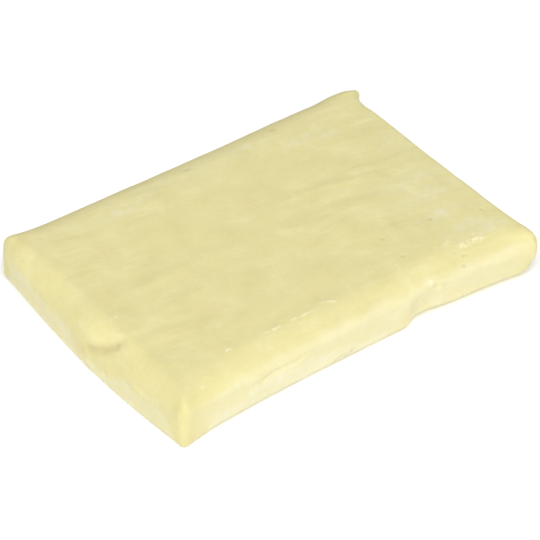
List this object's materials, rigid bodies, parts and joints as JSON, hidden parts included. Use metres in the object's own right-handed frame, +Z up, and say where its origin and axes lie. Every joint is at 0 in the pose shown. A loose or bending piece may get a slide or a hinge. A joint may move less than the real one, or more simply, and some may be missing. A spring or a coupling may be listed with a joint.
{
  "type": "clay bar",
  "caption": "Rectangular slab of pale yellow detailing clay, hand pressed, with a rolled front edge, a bulging end and a flat underside.",
  "frame": {"origin": "middle of the box around the slab, at the height of its flat underside", "axes": "+X along the long sides towards the end opposite the bulging one, +Y from the rolled front side to the back, +Z up through the thickness"},
  "size_m": [0.093, 0.066, 0.0116],
  "materials": {
    "clay": "satin"
  },
  "bodies": {
    "root": {"clay_slab": "clay"}
  },
  "joints": []
}
